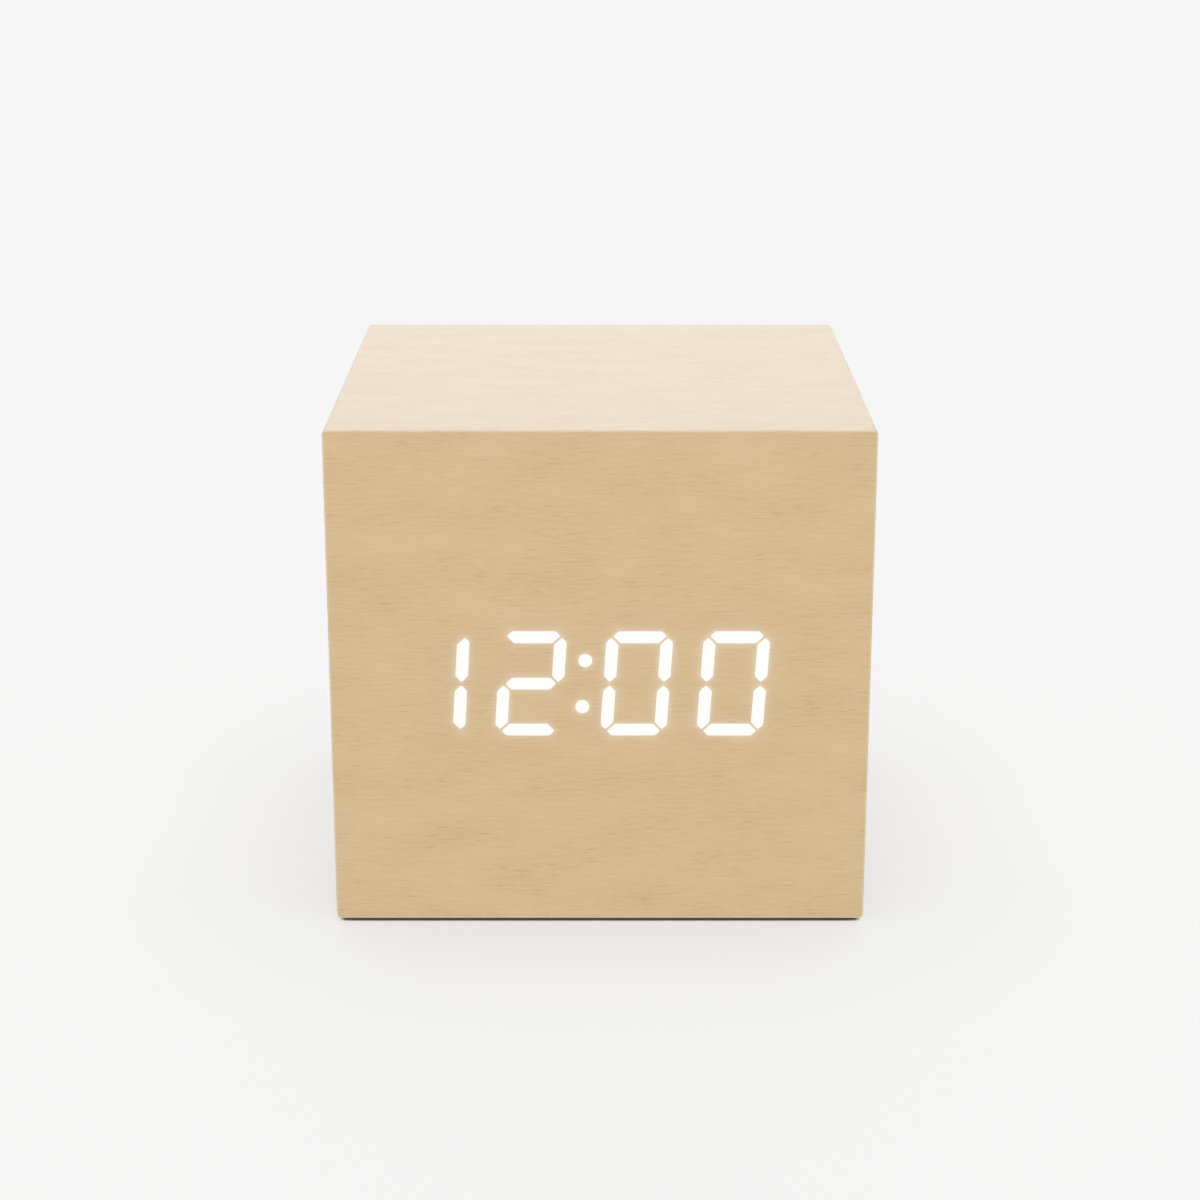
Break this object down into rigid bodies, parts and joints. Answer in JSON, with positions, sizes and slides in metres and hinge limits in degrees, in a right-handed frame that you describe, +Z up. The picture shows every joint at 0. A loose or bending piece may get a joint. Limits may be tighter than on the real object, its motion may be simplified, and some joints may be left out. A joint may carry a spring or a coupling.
{
  "type": "digital alarm clock",
  "caption": "Cube-shaped digital alarm clock in pale wood film with glowing digits behind the front, rear buttons, alarm switch, power socket and a battery hatch in the base.",
  "frame": {"origin": "middle of the clock's footprint, on the surface that its feet stand on", "axes": "+Z up, -Y out of the display, +X to the right as seen from the front"},
  "size_m": [0.07, 0.07, 0.067],
  "materials": {
    "wood_film": "satin",
    "wood_board": "matte",
    "black_plastic": "matte",
    "key_plastic": "satin",
    "foot_rubber": "matte",
    "display_grey": "matte",
    "milky_epoxy": "satin",
    "board_green": "satin",
    "chip_black": "matte",
    "bright_steel": "satin",
    "black_steel": "satin",
    "spring_steel": "satin",
    "cell_label": "satin",
    "ribbon_grey": "matte",
    "red_sleeve": "satin",
    "black_sleeve": "satin"
  },
  "bodies": {
    "clock_case": {"front_film": "wood_film", "case_sleeve": "wood_film", "front_board": "wood_board", "display_housing": "display_grey", "colon_guide": "milky_epoxy", "display_board": "board_green", "key_board": "board_green", "clock_chip": "chip_black", "watch_crystal": "bright_steel", "rear_cover": "black_plastic", "battery_tray": "black_plastic", "power_socket": "black_plastic", "socket_pin": "bright_steel", "alarm_switch": "bright_steel", "alarm_buzzer": "chip_black", "ribbon_cable": "ribbon_grey", "positive_lead": "red_sleeve", "negative_lead": "black_sleeve", "positive_contact": "spring_steel", "negative_contact": "spring_steel", "link_contact_1": "spring_steel", "link_contact_2": "spring_steel", "digit_guide_1": "milky_epoxy", "cover_screw_1": "black_steel", "foot_pad_1": "foot_rubber", "digit_guide_2": "milky_epoxy", "cover_screw_2": "black_steel", "foot_pad_2": "foot_rubber", "digit_guide_3": "milky_epoxy", "cover_screw_3": "black_steel", "foot_pad_3": "foot_rubber", "digit_guide_4": "milky_epoxy", "cover_screw_4": "black_steel", "foot_pad_4": "foot_rubber", "board_screw_1": "bright_steel", "key_board_screw_1": "bright_steel", "tray_screw_1": "black_steel", "board_spacer_1": "key_plastic", "board_screw_2": "bright_steel", "key_board_screw_2": "bright_steel", "tray_screw_2": "black_steel", "board_spacer_2": "key_plastic", "battery_cell_1": "cell_label", "battery_cell_2": "cell_label", "battery_cell_3": "cell_label", "set_switch": "chip_black", "up_switch": "chip_black", "down_switch": "chip_black"},
    "alarm_slider": {"alarm_knob": "key_plastic"},
    "battery_hatch": {"battery_door": "black_plastic"},
    "set_key": {"set_button": "key_plastic", "set_plunger": "key_plastic"},
    "up_key": {"up_button": "key_plastic", "up_plunger": "key_plastic"},
    "down_key": {"down_button": "key_plastic", "down_plunger": "key_plastic"}
  },
  "joints": [
    {"name": "set_press", "type": "slide", "parent": "clock_case", "child": "set_key", "axis": [0, -1, 0], "range_m": [0, 0.0006], "stiffness_N_per_m": 1500},
    {"name": "up_press", "type": "slide", "parent": "clock_case", "child": "up_key", "axis": [0, -1, 0], "range_m": [0, 0.0006], "stiffness_N_per_m": 1500},
    {"name": "down_press", "type": "slide", "parent": "clock_case", "child": "down_key", "axis": [0, -1, 0], "range_m": [0, 0.0006], "stiffness_N_per_m": 1500},
    {"name": "alarm_slide", "type": "slide", "parent": "clock_case", "child": "alarm_slider", "axis": [-1, 0, 0], "range_m": [0, 0.003]},
    {"name": "battery_hatch_hinge", "type": "hinge", "parent": "clock_case", "child": "battery_hatch", "pos_m": [0, 0.01635, 0.0015], "axis": [1, 0, 0], "range_deg": [0, 85]}
  ]
}
